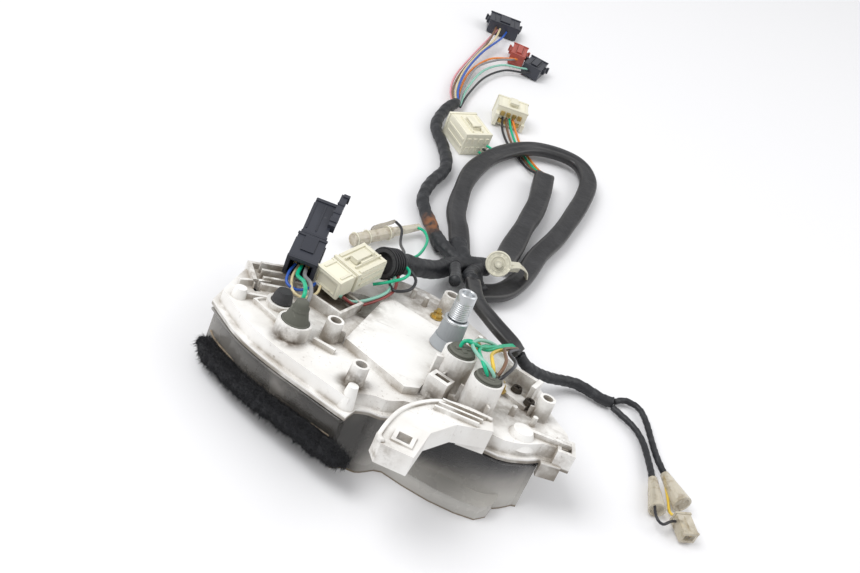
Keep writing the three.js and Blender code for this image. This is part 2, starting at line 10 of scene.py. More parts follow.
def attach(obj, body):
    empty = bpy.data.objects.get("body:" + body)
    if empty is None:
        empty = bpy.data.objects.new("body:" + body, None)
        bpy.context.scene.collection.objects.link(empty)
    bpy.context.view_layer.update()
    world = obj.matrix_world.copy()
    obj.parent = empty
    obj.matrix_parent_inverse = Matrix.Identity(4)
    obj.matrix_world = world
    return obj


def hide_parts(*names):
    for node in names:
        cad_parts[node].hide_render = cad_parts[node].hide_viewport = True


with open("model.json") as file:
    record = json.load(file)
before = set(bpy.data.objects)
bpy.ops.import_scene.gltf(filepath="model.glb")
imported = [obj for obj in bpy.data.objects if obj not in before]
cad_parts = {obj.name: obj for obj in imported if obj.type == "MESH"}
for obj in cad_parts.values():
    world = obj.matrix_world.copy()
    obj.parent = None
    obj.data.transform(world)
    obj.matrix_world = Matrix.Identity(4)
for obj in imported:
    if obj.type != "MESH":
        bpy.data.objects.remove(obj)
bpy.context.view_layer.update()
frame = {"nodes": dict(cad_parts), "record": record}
NODES = frame["nodes"]
MM = 0.001
ROOT = "cluster"

# The back of the case is tilted: these match the driving dimensions of the CAD source.
BACK_TILT = math.radians(11)
FLANGE_Z = 30
# The axis of the speedometer drive, through its stub and the middle of its dial.
DRIVE_AXIS = (25, 13)


def on_case(x, y, h):
    """A point over the flange plane of the tilted case, in millimetres on the floor frame."""
    c, s = math.cos(BACK_TILT), math.sin(BACK_TILT)
    return Vector((x, y * c + h * s, FLANGE_Z + h * c - y * s))


# ---------------------------------------------------------------- camera, floor and light

CAMERA_PLACE = Vector((2.6, -545.3, 483.1))
CAMERA_ELEVATION, CAMERA_ROLL, CAMERA_LENS = math.radians(36), math.radians(24), 50
SKY_STRENGTH = 0.72


def add_camera():
    elevation, roll = CAMERA_ELEVATION, CAMERA_ROLL
    forward = Vector((0, math.cos(elevation), -math.sin(elevation)))
    level, upright = Vector((1, 0, 0)), Vector((0, math.sin(elevation), math.cos(elevation)))
    right = level * math.cos(roll) + upright * math.sin(roll)
    up = upright * math.cos(roll) - level * math.sin(roll)
    camera = bpy.data.objects.new("camera", bpy.data.cameras.new("camera"))
    camera.data.lens = CAMERA_LENS
    camera.matrix_world = Matrix.Translation(CAMERA_PLACE * MM) @ Matrix(
        (right, up, -forward)).transposed().to_4x4()
    camera.data.clip_start, camera.data.clip_end = 0.01, 50
    bpy.context.scene.collection.objects.link(camera)
    bpy.context.scene.camera = camera


def area_light(name, place, target, size, power):
    light = bpy.data.lights.new(name, "AREA")
    light.size, light.energy = size, power
    holder = bpy.data.objects.new(name, light)
    holder.location = place
    holder.rotation_mode = "QUATERNION"
    holder.rotation_quaternion = (Vector(target) - Vector(place)).to_track_quat("-Z", "Y")
    bpy.context.scene.collection.objects.link(holder)


def add_stage():
    floor = bpy.data.meshes.new("floor")
    floor.from_pydata([(-6, -6, 0), (6, -6, 0), (6, 8, 0), (-6, 8, 0)], [], [(0, 1, 2, 3)])
    plane = bpy.data.objects.new("floor", floor)
    bpy.context.scene.collection.objects.link(plane)
    surface = Surface("floor_paper", (0.80, 0.80, 0.815), 0.75)
    surface.grain(900, 0.12)
    plane.data.materials.append(surface.done())
    world = bpy.data.worlds.new("world")
    world.use_nodes = True
    world.node_tree.nodes["Background"].inputs[0].default_value = (1, 1, 1, 1)
    world.node_tree.nodes["Background"].inputs[1].default_value = SKY_STRENGTH
    bpy.context.scene.world = world
    area_light("key", (-0.9, -0.3, 1.5), (0, 0.1, 0), 1.0, 20)
    area_light("fill", (1.4, 0.6, 1.3), (0, 0.1, 0), 1.4, 10)
    bpy.context.scene.view_settings.view_transform = "Standard"


# ---------------------------------------------------------------- materials

class Surface:
    """A procedural material built up in layers on one Principled shader."""

    def __init__(self, name, color, roughness, metallic=0.0):
        self.material = bpy.data.materials.new(name)
        self.material.use_nodes = True
        self.nodes = self.material.node_tree.nodes
        self.links = self.material.node_tree.links
        self.shader = self.nodes["Principled BSDF"]
        self.shader.inputs["Base Color"].default_value = (*color, 1)
        self.shader.inputs["Roughness"].default_value = roughness
        self.shader.inputs["Metallic"].default_value = metallic
        self.place = self.nodes.new("ShaderNodeTexCoord").outputs["Object"]
        self.color = None
        self.plain = color
        self.height = None
        self.rough = None

    def noise(self, scale, detail=4.0, roughness=0.55, stretch=None):
        place = self.place
        if stretch:
            mapping = self.nodes.new("ShaderNodeMapping")
            mapping.inputs["Scale"].default_value = stretch
            self.links.new(place, mapping.inputs["Vector"])
            place = mapping.outputs["Vector"]
        node = self.nodes.new("ShaderNodeTexNoise")
        node.inputs["Scale"].default_value = scale
        node.inputs["Detail"].default_value = detail
        node.inputs["Roughness"].default_value = roughness
        self.links.new(place, node.inputs["Vector"])
        return node.outputs["Fac"]

    def band(self, value, low, high):
        """Maps a value from low..high to 0..1, smoothly."""
        node = self.nodes.new("ShaderNodeMapRange")
        node.interpolation_type = "SMOOTHSTEP"
        node.inputs["From Min"].default_value = low
        node.inputs["From Max"].default_value = high
        self.links.new(value, node.inputs["Value"])
        return node.outputs["Result"]

    def math(self, kind, a, b):
        node = self.nodes.new("ShaderNodeMath")
        node.operation = kind
        node.use_clamp = kind != "SUBTRACT"
        for socket, value in zip(node.inputs, (a, b)):
            if isinstance(value, (int, float)):
                socket.default_value = value
            else:
                self.links.new(value, socket)
        return node.outputs["Value"]

    def layer(self, color, mask):
        """Lays a colour over what is there, through a mask."""
        mix = self.nodes.new("ShaderNodeMix")
        mix.data_type = "RGBA"
        self.links.new(mask, mix.inputs["Factor"])
        if self.color is None:
            mix.inputs["A"].default_value = (*self.plain, 1)
        else:
            self.links.new(self.color, mix.inputs["A"])
        mix.inputs["B"].default_value = (*color, 1)
        self.color = mix.outputs["Result"]
        return self

    def crevices(self, reach):
        """1 in corners and hollows, 0 on open faces."""
        node = self.nodes.new("ShaderNodeAmbientOcclusion")
        node.samples = 6
        node.inputs["Distance"].default_value = reach
        return self.math("SUBTRACT", 1.0, node.outputs["AO"])

    def near(self, point, inner, outer):
        """1 within inner of a point in millimetres, falling to 0 at outer."""
        node = self.nodes.new("ShaderNodeVectorMath")
        node.operation = "DISTANCE"
        self.links.new(self.place, node.inputs[0])
        node.inputs[1].default_value = Vector(point) * MM
        return self.math("SUBTRACT", 1.0, self.band(node.outputs["Value"], inner * MM, outer * MM))

    def axis(self, which):
        """One coordinate of the place, in metres."""
        node = self.nodes.new("ShaderNodeSeparateXYZ")
        self.links.new(self.place, node.inputs[0])
        return node.outputs[which]

    def case_height(self):
        """Height over the flange plane of the tilted case, in metres."""
        node = self.nodes.new("ShaderNodeVectorMath")
        node.operation = "DOT_PRODUCT"
        self.links.new(self.place, node.inputs[0])
        node.inputs[1].default_value = (0, math.sin(BACK_TILT), math.cos(BACK_TILT))
        return self.math("SUBTRACT", node.outputs["Value"], FLANGE_Z * MM * math.cos(BACK_TILT))

    def edges(self, low=0.52, high=0.6):
        # 1 on sharp convex edges, where the materials paint a highlight
        node = self.nodes.new("ShaderNodeNewGeometry")
        return self.band(node.outputs["Pointiness"], low, high)

    def relief(self, value, strength, depth=0.0003):
        bump = self.nodes.new("ShaderNodeBump")
        bump.inputs["Strength"].default_value = strength
        bump.inputs["Distance"].default_value = depth
        self.links.new(value, bump.inputs["Height"])
        if self.height is not None:
            self.links.new(self.height, bump.inputs["Normal"])
        self.height = bump.outputs["Normal"]
        return self

    def grain(self, scale, strength, depth=0.0003):
        return self.relief(self.noise(scale, 3), strength, depth)

    def gloss(self, value, low, high):
        node = self.nodes.new("ShaderNodeMapRange")
        node.inputs["To Min"].default_value = low
        node.inputs["To Max"].default_value = high
        self.links.new(value, node.inputs["Value"])
        self.rough = node.outputs["Result"]
        return self

    def done(self):
        if self.color is not None:
            self.links.new(self.color, self.shader.inputs["Base Color"])
        if self.height is not None:
            self.links.new(self.height, self.shader.inputs["Normal"])
        if self.rough is not None:
            self.links.new(self.rough, self.shader.inputs["Roughness"])
        return self.material


# Where the dust has settled on the back of the case: x, y, height, and the two radii.
DUSTY = [(-44, 14, 8, 16, 44), (-28, 27, 4, 12, 20), (29, -41, 10, 7, 15), (-14, -62, 12, 5, 13),
         (-38, -28, 12, 5, 13), (34, -19, 14, 8, 20), (53, -35, 12, 9, 19), (4, 70, 8, 14, 40),
         (74, -22, 8, 8, 22), (91, -12, 10, 6, 16), (-86, 4, 8, 12, 32), (104, -30, 4, 8, 22),
         (14, -112, 8, 4, 16), (68, 10, 12, 8, 24)]


# Where it is thick and brown: x, y, height and radius. A clean patch lies in the recess.
GRIME = [(32, -37, 14, 11), (27, -45, 6, 10), (-28, 21, 8, 12), (-46, 14, 8, 15), (-40, 26, 8, 11),
         (75, 20, 8, 13), (-37, -25, 9, 10), (-58, -46, 7, 11), (-14, -63, 9, 10), (88, -10, 8, 10)]
CLEAN_PATCH = (-19, 32, 8)


def dusty_white():
    s = Surface("case_white", (0.83, 0.82, 0.80), 0.5)
    s.layer((0.72, 0.70, 0.67), s.band(s.noise(28), 0.42, 0.75))
    cloud = s.math("MULTIPLY", s.band(s.crevices(0.016), 0.12, 0.6), s.band(s.noise(70, 6), 0.3, 0.62))
    s.layer((0.33, 0.29, 0.24), cloud)
    patches = None
    for x, y, h, inner, outer in DUSTY:
        spot = s.near(on_case(x, y, h), inner * 0.3, outer)
        patches = spot if patches is None else s.math("MAXIMUM", patches, spot)
    mottle = s.math("MULTIPLY", patches, s.band(s.noise(110, 8, 0.68), 0.36, 0.66))
    s.layer((0.27, 0.235, 0.195), s.math("MULTIPLY", mottle, 0.85))
    thick = None
    for x, y, h, reach in GRIME:
        spot = s.near(on_case(x, y, h), reach * 0.4, reach * 1.3)
        thick = spot if thick is None else s.math("MAXIMUM", thick, spot)
    s.layer((0.105, 0.082, 0.06), s.math("MULTIPLY", thick, s.band(s.noise(95, 7, 0.65), 0.34, 0.58)))
    s.layer((0.82, 0.81, 0.79), s.near(on_case(*CLEAN_PATCH), 3, 6))
    # Darker below the flange plane: painted shade on the flange's outer side faces, broken up by noise
    side = s.math("SUBTRACT", 1.0, s.band(s.case_height(), -0.0018, -0.0004))
    s.layer((0.19, 0.165, 0.135), s.math("MULTIPLY", side, s.band(s.noise(42, 6), 0.2, 0.6)))
    specks = s.math("MULTIPLY", s.band(s.noise(520, 5, 0.7), 0.58, 0.68), s.band(s.noise(35), 0.46, 0.66))
    s.layer((0.28, 0.24, 0.2), s.math("MULTIPLY", specks, 0.8))
    scratches = s.band(s.noise(60, 3, 0.5, (1, 14, 3)), 0.66, 0.72)
    s.layer((0.55, 0.53, 0.5), s.math("MULTIPLY", scratches, 0.5))
    s.grain(1500, 0.08)
    return s.gloss(s.noise(50), 0.38, 0.62).done()


def smoky_lens():
    """Smoked clear plastic: dark where the dials sit behind it, paler and hazy towards the floor."""
    s = Surface("lens_smoke", (0.40, 0.385, 0.36), 0.2)
    right = s.band(s.axis("X"), 0.0, 0.02)
    left = s.math("SUBTRACT", 1.0, right)
    low = s.math("MULTIPLY", right, s.math("SUBTRACT", 1.0, s.band(s.axis("Z"), 0.006, 0.017)))
    s.layer((0.035, 0.035, 0.038), s.math("MULTIPLY", right, s.band(s.axis("Z"), 0.012, 0.034)))
    s.layer((0.055, 0.051, 0.046), s.math("MULTIPLY", left, s.band(s.axis("X"), -0.16, -0.04)))
    s.layer((0.60, 0.585, 0.55), s.math("MULTIPLY", low, 0.9))
    s.layer((0.5, 0.47, 0.43), s.math("MULTIPLY", s.band(s.noise(30, 6), 0.48, 0.72), 0.35))
    shaded = s.math("MULTIPLY", s.near(on_case(42, -66, -9), 12, 44), s.band(s.axis("Z"), 0.007, 0.02))
    s.layer((0.006, 0.006, 0.008), s.math("MULTIPLY", shaded, right))
    s.layer((0.22, 0.17, 0.11), s.math("SUBTRACT", 1.0, s.band(s.axis("Z"), 0.0004, 0.0016)))
    s.shader.inputs["Alpha"].default_value = 0.8
    s.shader.inputs["Coat Weight"].default_value = 0.3
    s.grain(800, 0.03)
    return s.gloss(s.noise(40, 6), 0.1, 0.42).done()


def plastic(name, color, roughness, dust=(0.3, 0.28, 0.25), dirty=0.6, grain=900, bump=0.1):
    s = Surface(name, color, roughness)
    darker = tuple(c * 0.72 for c in color)
    s.layer(darker, s.band(s.noise(45, 5), 0.45, 0.8))
    s.layer(dust, s.band(s.noise(160, 6, 0.65), dirty, dirty + 0.16))
    # Lighter on sharp edges: a painted highlight
    s.layer(tuple(min(1, c * 1.35 + 0.02) for c in color), s.edges())
    s.grain(grain, bump)
    return s.gloss(s.noise(90), roughness * 0.75, min(1, roughness * 1.3)).done()


def metal(name, color, roughness, stain, stained=0.55):
    s = Surface(name, color, roughness, 1.0)
    s.layer(stain, s.band(s.noise(240, 6, 0.7), stained, stained + 0.2))
    s.grain(2500, 0.08, 0.0001)
    return s.gloss(s.noise(300), roughness * 0.7, roughness * 1.6).done()


def black_foam():
    s = Surface("foam_black", (0.006, 0.0065, 0.009), 1.0)
    s.layer((0.022, 0.023, 0.028), s.band(s.noise(700, 6, 0.7), 0.5, 0.7))
    s.grain(1400, 0.8, 0.001)
    s.shader.inputs["Sheen Weight"].default_value = 0.08
    return s.done()


def wrapped_tape(name="tape_black", stained=False):
    s = Surface(name, (0.010, 0.011, 0.014), 0.5)
    s.layer((0.032, 0.034, 0.038), s.band(s.noise(150, 5), 0.5, 0.75))
    s.layer((0.11, 0.10, 0.09), s.band(s.noise(420, 6, 0.7), 0.66, 0.78))
    if stained:
        rust = s.math("MULTIPLY", s.near((-14, 178, 12), 3, 15), s.band(s.noise(190, 5), 0.36, 0.58))
        s.layer((0.20, 0.075, 0.025), rust)
    s.grain(600, 0.4, 0.0006)
    s.relief(s.noise(260, 3, 0.5, (1, 1, 4)), 0.35, 0.0008)
    return s.gloss(s.noise(120), 0.3, 0.7).done()


def vinyl_sleeve():
    s = Surface("sleeve_black", (0.012, 0.012, 0.014), 0.42)
    s.layer((0.028, 0.028, 0.031), s.band(s.noise(30, 4), 0.45, 0.7))
    s.layer((0.09, 0.085, 0.08), s.band(s.noise(260, 6, 0.7), 0.64, 0.76))
    # Lighter on the sleeve's sharp folds: a painted highlight
    s.layer((0.06, 0.058, 0.055), s.edges(0.51, 0.56))
    s.relief(s.noise(70, 4, 0.6), 0.5, 0.0016)
    return s.gloss(s.noise(60), 0.26, 0.5).done()


def clear_vinyl():
    s = Surface("clear_sleeve", (0.62, 0.565, 0.45), 0.25)
    s.layer((0.36, 0.30, 0.21), s.band(s.noise(180, 5), 0.46, 0.72))
    s.shader.inputs["Alpha"].default_value = 0.66
    s.grain(700, 0.1)
    return s.done()


def bulb_glass():
    s = Surface("bulb_glass", (0.85, 0.88, 0.88), 0.05)
    s.layer((0.6, 0.6, 0.58), s.band(s.noise(200), 0.55, 0.8))
    s.shader.inputs["Alpha"].default_value = 0.35
    return s.done()


def insulation(name, color):
    s = Surface(name, color, 0.38)
    s.layer(tuple(c * 0.6 for c in color), s.band(s.noise(300, 4), 0.5, 0.8))
    s.layer((0.22, 0.2, 0.17), s.band(s.noise(600, 5, 0.7), 0.66, 0.78))
    s.grain(1200, 0.06)
    return s.done()


MATERIALS = {
    "case_white": dusty_white(),
    "lens_smoke": smoky_lens(),
    "foam_black": black_foam(),
    "dial_black": plastic("dial_black", (0.012, 0.013, 0.016), 0.6),
    "zinc": metal("zinc", (0.62, 0.64, 0.66), 0.32, (0.36, 0.36, 0.36)),
    "grey_plastic": plastic("grey_plastic", (0.24, 0.255, 0.27), 0.5),
    "steel": metal("steel", (0.5, 0.5, 0.5), 0.35, (0.25, 0.2, 0.15)),
    "needle_red": plastic("needle_red", (0.75, 0.12, 0.04), 0.4),
    "nylon": plastic("nylon", (0.56, 0.54, 0.44), 0.34, (0.30, 0.25, 0.17), 0.58),
    "black_plastic": plastic("black_plastic", (0.008, 0.010, 0.019), 0.36, (0.14, 0.14, 0.14), 0.62),
    "rubber_grey": plastic("rubber_grey", (0.088, 0.09, 0.073), 0.8, grain=600, bump=0.25),
    "rubber_black": plastic("rubber_black", (0.013, 0.013, 0.015), 0.7, (0.12, 0.12, 0.12), 0.64,
                            grain=600, bump=0.25),
    "bulb_glass": bulb_glass(),
    "brass": metal("brass", (0.55, 0.40, 0.14), 0.35, (0.16, 0.10, 0.04), 0.5),
    "screw_black": metal("screw_black", (0.08, 0.07, 0.06), 0.5, (0.2, 0.15, 0.1)),
    "red_plastic": plastic("red_plastic", (0.27, 0.045, 0.03), 0.42),
    "clear_sleeve": clear_vinyl(),
    "tape_black": wrapped_tape(stained=True),
    "sleeve_black": vinyl_sleeve(),
    "wire_green": insulation("wire_green", (0.0, 0.42, 0.22)),
}
WIRE_COLOURS = {
    "green": (0.0, 0.42, 0.22), "pale_green": (0.25, 0.52, 0.42), "black": (0.02, 0.02, 0.024),
    "grey": (0.24, 0.24, 0.25), "yellow": (0.75, 0.52, 0.06), "brown": (0.17, 0.09, 0.05),
    "blue": (0.02, 0.09, 0.42), "orange": (0.75, 0.22, 0.03), "pink": (0.7, 0.3, 0.34),
    "cream": (0.66, 0.56, 0.34), "red": (0.26, 0.05, 0.045),
}
WIRES = {name: insulation("wire_" + name + "_ins", rgb) for name, rgb in WIRE_COLOURS.items()}
GLUE = plastic("adhesive", (0.20, 0.155, 0.105), 0.6)


# ---------------------------------------------------------------- CAD nodes that stay

EDGE_WIDTH, SHELL_EDGE_WIDTH, EDGE_ANGLE = 0.35, 0.5, math.radians(38)


def finish_cad_nodes():
    """Every CAD node takes its slot's material and, where it has hard edges, a fine round on them."""
    slots = {s["node"]: s["material_slot"] for s in frame["record"]["subparts"]}
    for name, node in NODES.items():
        node.data.materials.clear()
        node.data.materials.append(MATERIALS[slots[name]])
        bevel = node.modifiers.new("edge", "BEVEL")
        bevel.width = (SHELL_EDGE_WIDTH if name in ("rear_case", "lens_cover") else EDGE_WIDTH) * MM
        bevel.segments = 2
        bevel.limit_method = "ANGLE"
        bevel.angle_limit = EDGE_ANGLE
        bevel.harden_normals = True
        for polygon in node.data.polygons:
            polygon.use_smooth = True


# ---------------------------------------------------------------- mesh helpers

def mesh_piece(name, points, faces, material, body=ROOT, smooth=True):
    mesh = bpy.data.meshes.new(name)
    mesh.from_pydata([tuple(Vector(p) * MM) for p in points], [], faces)
    mesh.materials.append(material)
    for polygon in mesh.polygons:
        polygon.use_smooth = smooth
    piece = bpy.data.objects.new(name, mesh)
    bpy.context.scene.collection.objects.link(piece)
    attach(piece, body)
    return piece


def smooth_path(points, step):
    """Points along a Catmull-Rom curve through the given ones, about step apart."""
    points = [Vector(p) for p in points]
    ends = [points[0] * 2 - points[1]] + points + [points[-1] * 2 - points[-2]]
    path = []
    for before, a, b, after in zip(ends, ends[1:], ends[2:], ends[3:]):
        count = max(2, round((b - a).length / step))
        for i in range(count):
            t = i / count
            path.append(0.5 * (2 * a + (b - before) * t + (2 * before - 5 * a + 4 * b - after) * t ** 2
                               + (3 * a - before - 3 * b + after) * t ** 3))
    return path + [points[-1]]


def tube_faces(rows, sides):
    """Quads between each ring of points and the next, and a cap on either end."""
    faces = []
    for i in range(rows - 1):
        for k in range(sides):
            a, b = i * sides + k, i * sides + (k + 1) % sides
            faces.append((a, a + sides, b + sides, b))
    return faces + [tuple(range(sides)), tuple(reversed(range((rows - 1) * sides, rows * sides)))]


def turned_faces(rows, sides, ring=False):
    """Quads between rings that are stacked upwards, and from the last to the first in a ring."""
    faces = []
    for i in range(rows if ring else rows - 1):
        low, high = i * sides, (i + 1) % rows * sides
        faces += [(low + k, low + (k + 1) % sides, high + (k + 1) % sides, high + k) for k in range(sides)]
    return faces


def sweep(name, path, section, material, sides=16, up=Vector((0, 0, 1))):
    """A tube along a path. section(along, angle) gives (sideways, upwards) in millimetres."""
    rings, along = [], 0.0
    for i, point in enumerate(path):
        ahead = path[min(i + 1, len(path) - 1)] - path[max(i - 1, 0)]
        side = ahead.cross(up).normalized()
        top = side.cross(ahead).normalized()
        if i:
            along += (point - path[i - 1]).length
        for k in range(sides):
            across, rise = section(along, 2 * math.pi * k / sides)
            rings.append(point + side * across + top * rise)
    return mesh_piece(name, rings, tube_faces(len(path), sides), material)


def swept(name, path, section, slot, material=None, **how):
    """A swept piece in the look of its slot, unless it has a material of its own."""
    piece = sweep(name, path, section, material or MATERIALS[slot], **how)
    return piece


def oval(half_width, half_height, power_across=1.0, power_up=1.0):
    """The section of a bead: an ellipse, squared off by powers below 1."""
    def section(along, angle):
        c, s = math.cos(angle), math.sin(angle)
        return (half_width * math.copysign(abs(c) ** power_across, c),
                half_height * math.copysign(abs(s) ** power_up, s))
    return section


def taped(radius, lap=9.0, step=0.35, wobble=0.35):
    """The section of a bundle wound with tape: a helical step at each lap, and a lumpy outline."""
    def section(along, angle):
        turn = (along / lap + angle / (2 * math.pi)) % 1
        lump = noise.noise(Vector((along * 0.07, math.cos(angle), math.sin(angle)))) * wobble
        r = radius - 0.25 + step * (1 - turn) + lump
        return r * math.cos(angle), r * math.sin(angle)
    return section


def flattened(width, thickness, crumple=0.5, fold=0.14, twist=0.35):
    """The section of an empty-looking vinyl sleeve: flat, creased, and twisting a little as it runs."""
    def section(along, angle):
        c, s = math.cos(angle), math.sin(angle)
        wave = noise.noise(Vector((along * 0.045, 3 * c, 2 * s))) * crumple
        pleat = noise.noise(Vector((along * 0.02, 5 * c, 9))) * crumple * 1.4
        narrow = 0.9 + 0.1 * noise.noise(Vector((along * 0.03, 4, 7)))
        sag = -fold * thickness * math.cos(2 * c) * (1 if s > 0 else 0.4)
        across = (width / 2 - 0.2) * narrow * math.copysign(abs(c) ** 0.85, c)
        rise = (thickness / 2) * math.copysign(abs(s) ** 0.7, s) + (wave + sag + pleat) * abs(s)
        turn = twist * noise.noise(Vector((along * 0.012, 1, 3)))
        return (across * math.cos(turn) - rise * math.sin(turn),
                across * math.sin(turn) + rise * math.cos(turn))
    return section


def cord_piece(name, points, diameter, section, material, slot, node=None, sides=16, step=3.0, **facts):
    """A swept cord, standing for its CAD solid if it has one, which is hidden."""
    path = smooth_path(points, step)
    piece = sweep(name, path, section, material, sides)
    if node:
        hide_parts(node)
    return piece


def wire(name, points, colour, diameter=1.9, far_end="object", with_pieces=(), node=None, slot="wire_green"):
    """One insulated wire as a round curve."""
    path = smooth_path(points, 2.0)
    curve = bpy.data.curves.new(name, "CURVE")
    curve.dimensions = "3D"
    curve.bevel_depth = diameter / 2 * MM
    curve.bevel_resolution = 3
    curve.use_fill_caps = True
    spline = curve.splines.new("POLY")
    spline.points.add(len(path) - 1)
    for point, place in zip(spline.points, path):
        point.co = (*(place * MM), 1)
    curve.materials.append(WIRES[colour])
    piece = bpy.data.objects.new(name, curve)
    bpy.context.scene.collection.objects.link(piece)
    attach(piece, ROOT)
    if node:
        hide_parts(node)
    return piece


# ---------------------------------------------------------------- harness routes, as in the CAD source

TRUNK = [(-20, 78, 38), (-11, 89, 32), (1, 112, 20), (10, 135, 12), (22, 148, 10), (34, 157, 9)]
UP_BRANCH = [(-2, 158, 7), (-11, 173, 7), (-28, 205, 7), (-29, 232, 7), (-24, 262, 7), (-32, 291, 6),
             (-46, 318, 6), (-47, 346, 6), (-41, 369, 7)]
LOOP = [(12, 160, 9), (5, 185, 9), (-3, 212, 9), (-4, 268, 9), (10, 314, 9), (37, 348, 9), (69, 356, 9),
        (85, 338, 9), (87, 305, 9), (77, 239, 9), (66, 197, 9), (60, 161, 9), (50, 136, 9), (34, 122, 9)]
LOOP_TAIL = [(51, 308, 10), (53, 264, 9), (49, 222, 9), (45, 182, 10), (44, 166, 12)]
CASE_LEAD = [(13, 119, 24), (14, 108, 28), (15, 96, 34), (15.5, 78, 42)]
GAUGE_SLEEVE = [(27, 101, 31), (34, 78, 35), (48, 60, 38), (64, 50, 36), (70, 48, 33)]
TAPED_LEAD = [(71, 48, 32), (79, 48, 26), (95, 62, 14), (116, 77, 7), (135, 76, 5), (143, 77, 5)]
BRANCH_A = [(144, 74, 4), (160, 64, 4), (168, 53, 4), (174, 34, 5), (176.6, 23, 5.6)]
BRANCH_B = [(144, 80, 4), (152, 86, 4), (162, 84, 4), (168, 74, 4), (173, 60, 4), (178, 44, 5),
            (183.6, 31, 6)]
LAMP_WIRES = [
    ("green", [(32, -14, 63), (33, -11, 70), (39, -9, 69), (45, 2, 61), (54, 24, 49), (63, 44, 39),
               (66, 50, 35)]),
    ("green", [(38, 28, 35), (35, 18, 47), (38, 7, 58), (47, 6, 57), (55, 23, 49), (64, 43, 39),
               (67, 50, 35)]),
    ("pale_green", [(55, -29, 65), (55, -29, 70), (50, -27, 73), (43, -22, 73), (38, -10, 69), (41, 4, 63),
                    (48, 17, 55),
                    (56, 27, 47), (65, 42, 39), (68, 49, 35)]),
    ("green", [(52, -29, 65), (51, -30, 70), (46, -25, 73), (43, -8, 66), (47, 11, 56), (55, 25, 47),
               (64, 41, 39),
               (65, 50, 35)]),
    ("yellow", [(55, -27, 65), (54, -25, 70), (51, -19, 72), (51, -4, 64), (56, 20, 50), (66, 42, 39),
                (69, 49, 35)]),
    ("brown", [(56, -26, 65), (58, -24, 70), (59, -14, 71), (58, 6, 61), (59, 25, 49), (67, 43, 39),
               (69, 49, 34)]),
    ("black", [(57, -28, 65), (60, -26, 69), (64, -15, 69), (66, 4, 59), (62, 22, 50), (68, 44, 38),
               (70, 49, 34)]),
]
SOCKET_WIRES = [
    ("green", [(-60, -26, 58), (-60, -22, 64), (-64, -10, 61), (-71, 5, 52), (-72, 17, 50)]),
    ("grey", [(-57, -26, 58), (-57, -19, 62), (-61, -6, 59), (-67, 7, 52), (-69, 17, 50)]),
]
FAN_WIRES = [
    ("brown", [(-41, 366, 7), (-48, 385, 7), (-50, 418, 7), (-46, 462, 8), (-41, 505, 9), (-41, 546, 8)]),
    ("cream", [(-40, 366, 8), (-46, 389, 8), (-48, 423, 9), (-44, 470, 9), (-37, 512, 10), (-37, 546, 8)]),
    ("blue", [(-39, 366, 9), (-45, 392, 10), (-46, 431, 10), (-41, 477, 10), (-32, 521, 9), (-30, 546, 7)]),
    ("pink", [(-42, 366, 6), (-50, 389, 5), (-53, 419, 5), (-49, 463, 6), (-43, 510, 7), (-39, 546, 6)]),
    ("orange", [(-39, 368, 7), (-43, 394, 8), (-43, 434, 8), (-33, 472, 8), (-18, 490, 8), (-9, 497, 8)]),
    ("grey", [(-38, 366, 9), (-41, 399, 10), (-39, 443, 10), (-26, 475, 9), (-15, 488, 9), (-11, 497, 7)]),
    ("pale_green", [(-37, 367, 7), (-38, 402, 8), (-33, 444, 8), (-20, 472, 8), (-4, 482, 8), (4, 487, 8)]),
    ("black", [(-36, 367, 6), (-35, 399, 5), (-29, 440, 5), (-16, 470, 5), (0, 480, 6), (8, 487, 7)]),
]
SLEEVE_WIRES = [
    ("brown", [(3, 379, 9), (8, 367, 5), (17, 352, 1.9), (29, 338, 1.6), (40, 325, 2.6), (49, 312, 8),
               (51, 297, 10)]),
    ("green", [(6, 379, 9), (12, 367, 5), (21, 353, 1.9), (32, 339, 1.6), (43, 326, 2.8), (51.5, 313, 8.5),
               (53, 297, 10)]),
    ("orange", [(9, 379, 9), (16, 368, 5), (25, 354, 1.9), (36, 340, 1.6), (46, 327, 3), (54, 313, 9),
                (55, 297, 11)]),
    ("black", [(0, 379, 9), (4, 365, 4.6), (13, 350, 1.9), (25, 336, 1.6), (36, 323, 2.6), (46.5, 311, 7.5),
               (49, 296, 9)]),
]
CASE_WIRES = [
    ("pale_green", [(-45, 12, 45), (-36, 17, 41), (-27, 28, 40), (-20, 42, 40), (-20, 56, 42)]),
    ("red", [(-42, 12, 45), (-33, 18, 39), (-24, 31, 38), (-17, 45, 39), (-18, 58, 42)]),
    ("black", [(-24, 56, 40), (-17, 44, 41), (-8, 50, 42), (-7, 60, 43), (-13, 66, 44), (-21, 68, 44)]),
    ("green", [(-30, 41, 41), (-22, 44, 45), (-14, 52, 47), (-13, 62, 46), (-20, 70, 44)]),
    ("black", [(-38, 159, 11), (-32, 152, 12), (-28, 131, 15), (-22, 101, 30), (-22, 76, 42)]),
    ("green", [(-23, 168, 8), (-17, 164, 10), (-12, 149, 13), (-13, 113, 25), (-19, 80, 40)]),
]
RELAY_WIRES = [
    ("blue", [(-76, 19, 49), (-77, 10, 47), (-75, 3, 45), (-68, 2, 44), (-62, 9, 44), (-60, 18, 44)]),
    ("cream", [(-74, 19, 48), (-74, 9, 46), (-70, 0, 44), (-63, -1, 43), (-57, 6, 44), (-57, 14, 45)]),
]
BOOT_WIRES = [
    ("black", [(178, 18, 6), (179, 2, 8), (181, -12, 9), (186, -15, 8), (192, -8, 7), (199, -4, 6)]),
    ("yellow", [(184, 28, 6), (189, 12, 4), (191, 2, 4), (195, -1, 5), (200, -8, 6)]),
]


def wire_group(prefix, wires, diameter=1.9, nodes=(), **facts):
    for i, (colour, points) in enumerate(wires):
        node = nodes[i] if i < len(nodes) else None
        wire(f"{prefix}_{i + 1}_{colour}", points, colour, diameter, node=node, **facts)


